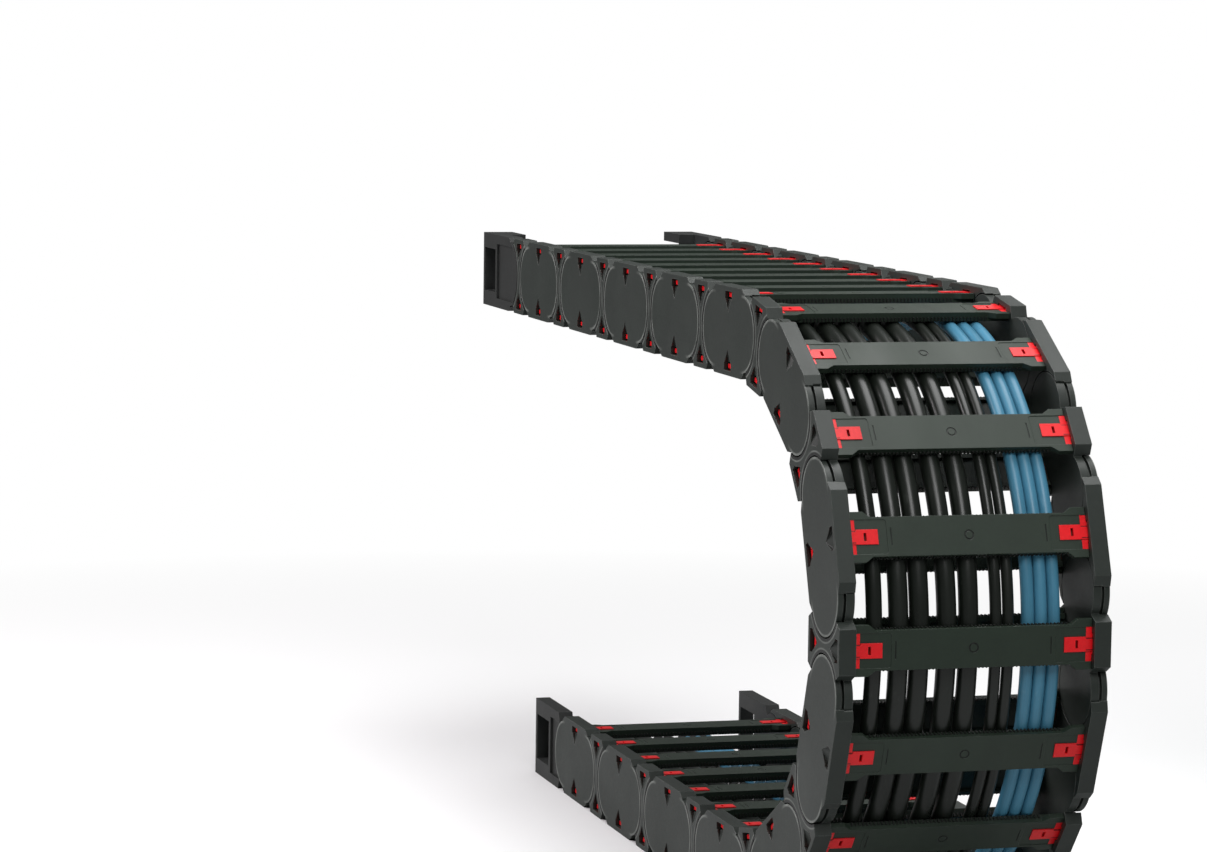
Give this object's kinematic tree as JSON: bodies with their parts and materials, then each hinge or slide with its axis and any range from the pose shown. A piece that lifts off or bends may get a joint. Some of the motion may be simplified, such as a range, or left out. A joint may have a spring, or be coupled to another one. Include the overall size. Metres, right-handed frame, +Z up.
{
  "type": "cable drag chain",
  "caption": "Cable drag chain of hinged links with disc-shaped side plates, crossbars held by red locks, two end brackets and a loom of cables, bent in a half circle.",
  "frame": {"origin": "on the floor, in the middle of the fixed end's four bolt holes", "axes": "+X along the chain from the fixed end to the bend, +Y across the chain, +Z up"},
  "size_m": [1.0106, 0.193, 0.4498],
  "materials": {
    "plates": "matte",
    "crossbars": "satin",
    "brackets": "matte",
    "black_cable": "satin",
    "blue_cable": "satin"
  },
  "bodies": {
    "root": {"link_01_side_plates": "plates", "link_01_crossbars": "crossbars", "fixed_end_brackets": "brackets", "fixed_end_tie_comb": "brackets", "thick_black_cables": "black_cable", "thin_black_cables": "black_cable", "blue_cables": "blue_cable"},
    "link_02": {"link_02_side_plates": "plates", "link_02_crossbars": "crossbars"},
    "link_03": {"link_03_side_plates": "plates", "link_03_crossbars": "crossbars"},
    "link_04": {"link_04_side_plates": "plates", "link_04_crossbars": "crossbars"},
    "link_05": {"link_05_side_plates": "plates", "link_05_crossbars": "crossbars"},
    "link_06": {"link_06_side_plates": "plates", "link_06_crossbars": "crossbars"},
    "link_07": {"link_07_side_plates": "plates", "link_07_crossbars": "crossbars"},
    "link_08": {"link_08_side_plates": "plates", "link_08_crossbars": "crossbars"},
    "link_09": {"link_09_side_plates": "plates", "link_09_crossbars": "crossbars"},
    "link_10": {"link_10_side_plates": "plates", "link_10_crossbars": "crossbars"},
    "link_11": {"link_11_side_plates": "plates", "link_11_crossbars": "crossbars"},
    "link_12": {"link_12_side_plates": "plates", "link_12_crossbars": "crossbars"},
    "link_13": {"link_13_side_plates": "plates", "link_13_crossbars": "crossbars"},
    "link_14": {"link_14_side_plates": "plates", "link_14_crossbars": "crossbars"},
    "link_15": {"link_15_side_plates": "plates", "link_15_crossbars": "crossbars"},
    "link_16": {"link_16_side_plates": "plates", "link_16_crossbars": "crossbars"},
    "link_17": {"link_17_side_plates": "plates", "link_17_crossbars": "crossbars"},
    "link_18": {"link_18_side_plates": "plates", "link_18_crossbars": "crossbars"},
    "link_19": {"link_19_side_plates": "plates", "link_19_crossbars": "crossbars"},
    "link_20": {"link_20_side_plates": "plates", "link_20_crossbars": "crossbars"},
    "link_21": {"link_21_side_plates": "plates", "link_21_crossbars": "crossbars"},
    "link_22": {"link_22_side_plates": "plates", "link_22_crossbars": "crossbars"},
    "link_23": {"link_23_side_plates": "plates", "link_23_crossbars": "crossbars"},
    "link_24": {"link_24_side_plates": "plates", "link_24_crossbars": "crossbars"},
    "link_25": {"link_25_side_plates": "plates", "link_25_crossbars": "crossbars"},
    "link_26": {"link_26_side_plates": "plates", "link_26_crossbars": "crossbars", "moving_end_brackets": "brackets", "moving_end_tie_comb": "brackets"}
  },
  "joints": [
    {"name": "pivot_01", "type": "hinge", "parent": "root", "child": "link_02", "pos_m": [0.135, 0, 0.032], "axis": [0, -1, 0], "range_deg": [0, 20]},
    {"name": "pivot_02", "type": "hinge", "parent": "link_02", "child": "link_03", "pos_m": [0.202, 0, 0.032], "axis": [0, -1, 0], "range_deg": [0, 20]},
    {"name": "pivot_03", "type": "hinge", "parent": "link_03", "child": "link_04", "pos_m": [0.269, 0, 0.032], "axis": [0, -1, 0], "range_deg": [0, 20]},
    {"name": "pivot_04", "type": "hinge", "parent": "link_04", "child": "link_05", "pos_m": [0.336, 0, 0.032], "axis": [0, -1, 0], "range_deg": [0, 20]},
    {"name": "pivot_05", "type": "hinge", "parent": "link_05", "child": "link_06", "pos_m": [0.403, 0, 0.032], "axis": [0, -1, 0], "range_deg": [0, 20]},
    {"name": "pivot_06", "type": "hinge", "parent": "link_06", "child": "link_07", "pos_m": [0.47, 0, 0.032], "axis": [0, -1, 0], "range_deg": [0, 20]},
    {"name": "pivot_07", "type": "hinge", "parent": "link_07", "child": "link_08", "pos_m": [0.537, 0, 0.032], "axis": [0, -1, 0], "range_deg": [-10, 10]},
    {"name": "pivot_08", "type": "hinge", "parent": "link_08", "child": "link_09", "pos_m": [0.60298, 0, 0.04363], "axis": [0, -1, 0], "range_deg": [-20, 0]},
    {"name": "pivot_09", "type": "hinge", "parent": "link_09", "child": "link_10", "pos_m": [0.66101, 0, 0.07713], "axis": [0, -1, 0], "range_deg": [-20, 0]},
    {"name": "pivot_10", "type": "hinge", "parent": "link_10", "child": "link_11", "pos_m": [0.70407, 0, 0.12846], "axis": [0, -1, 0], "range_deg": [-20, 0]},
    {"name": "pivot_11", "type": "hinge", "parent": "link_11", "child": "link_12", "pos_m": [0.72699, 0, 0.19142], "axis": [0, -1, 0], "range_deg": [-20, 0]},
    {"name": "pivot_12", "type": "hinge", "parent": "link_12", "child": "link_13", "pos_m": [0.72699, 0, 0.25842], "axis": [0, -1, 0], "range_deg": [-20, 0], "deforming": ["thick_black_cables", "thin_black_cables", "blue_cables"]},
    {"name": "pivot_13", "type": "hinge", "parent": "link_13", "child": "link_14", "pos_m": [0.70407, 0, 0.32138], "axis": [0, -1, 0], "range_deg": [-20, 0]},
    {"name": "pivot_14", "type": "hinge", "parent": "link_14", "child": "link_15", "pos_m": [0.66101, 0, 0.3727], "axis": [0, -1, 0], "range_deg": [-20, 0]},
    {"name": "pivot_15", "type": "hinge", "parent": "link_15", "child": "link_16", "pos_m": [0.60298, 0, 0.4062], "axis": [0, -1, 0], "range_deg": [-20, 0]},
    {"name": "pivot_16", "type": "hinge", "parent": "link_16", "child": "link_17", "pos_m": [0.537, 0, 0.41784], "axis": [0, -1, 0], "range_deg": [-10, 10]},
    {"name": "pivot_17", "type": "hinge", "parent": "link_17", "child": "link_18", "pos_m": [0.47, 0, 0.41784], "axis": [0, -1, 0], "range_deg": [0, 20]},
    {"name": "pivot_18", "type": "hinge", "parent": "link_18", "child": "link_19", "pos_m": [0.403, 0, 0.41784], "axis": [0, -1, 0], "range_deg": [0, 20]},
    {"name": "pivot_19", "type": "hinge", "parent": "link_19", "child": "link_20", "pos_m": [0.336, 0, 0.41784], "axis": [0, -1, 0], "range_deg": [0, 20]},
    {"name": "pivot_20", "type": "hinge", "parent": "link_20", "child": "link_21", "pos_m": [0.269, 0, 0.41784], "axis": [0, -1, 0], "range_deg": [0, 20]},
    {"name": "pivot_21", "type": "hinge", "parent": "link_21", "child": "link_22", "pos_m": [0.202, 0, 0.41784], "axis": [0, -1, 0], "range_deg": [0, 20]},
    {"name": "pivot_22", "type": "hinge", "parent": "link_22", "child": "link_23", "pos_m": [0.135, 0, 0.41784], "axis": [0, -1, 0], "range_deg": [0, 20]},
    {"name": "pivot_23", "type": "hinge", "parent": "link_23", "child": "link_24", "pos_m": [0.068, 0, 0.41784], "axis": [0, -1, 0], "range_deg": [0, 20]},
    {"name": "pivot_24", "type": "hinge", "parent": "link_24", "child": "link_25", "pos_m": [0.001, 0, 0.41784], "axis": [0, -1, 0], "range_deg": [0, 20]},
    {"name": "pivot_25", "type": "hinge", "parent": "link_25", "child": "link_26", "pos_m": [-0.066, 0, 0.41784], "axis": [0, -1, 0], "range_deg": [0, 20]}
  ],
  "couplings": [
    {"joint": "pivot_16", "follows": "pivot_07", "ratio": -1},
    {"joint": "pivot_17", "follows": "pivot_08", "ratio": -1},
    {"joint": "pivot_18", "follows": "pivot_09", "ratio": -1},
    {"joint": "pivot_19", "follows": "pivot_10", "ratio": -1},
    {"joint": "pivot_20", "follows": "pivot_11", "ratio": -1},
    {"joint": "pivot_15", "follows": "pivot_06", "ratio": -1},
    {"joint": "pivot_14", "follows": "pivot_05", "ratio": -1},
    {"joint": "pivot_13", "follows": "pivot_04", "ratio": -1},
    {"joint": "pivot_12", "follows": "pivot_03", "ratio": -1}
  ]
}
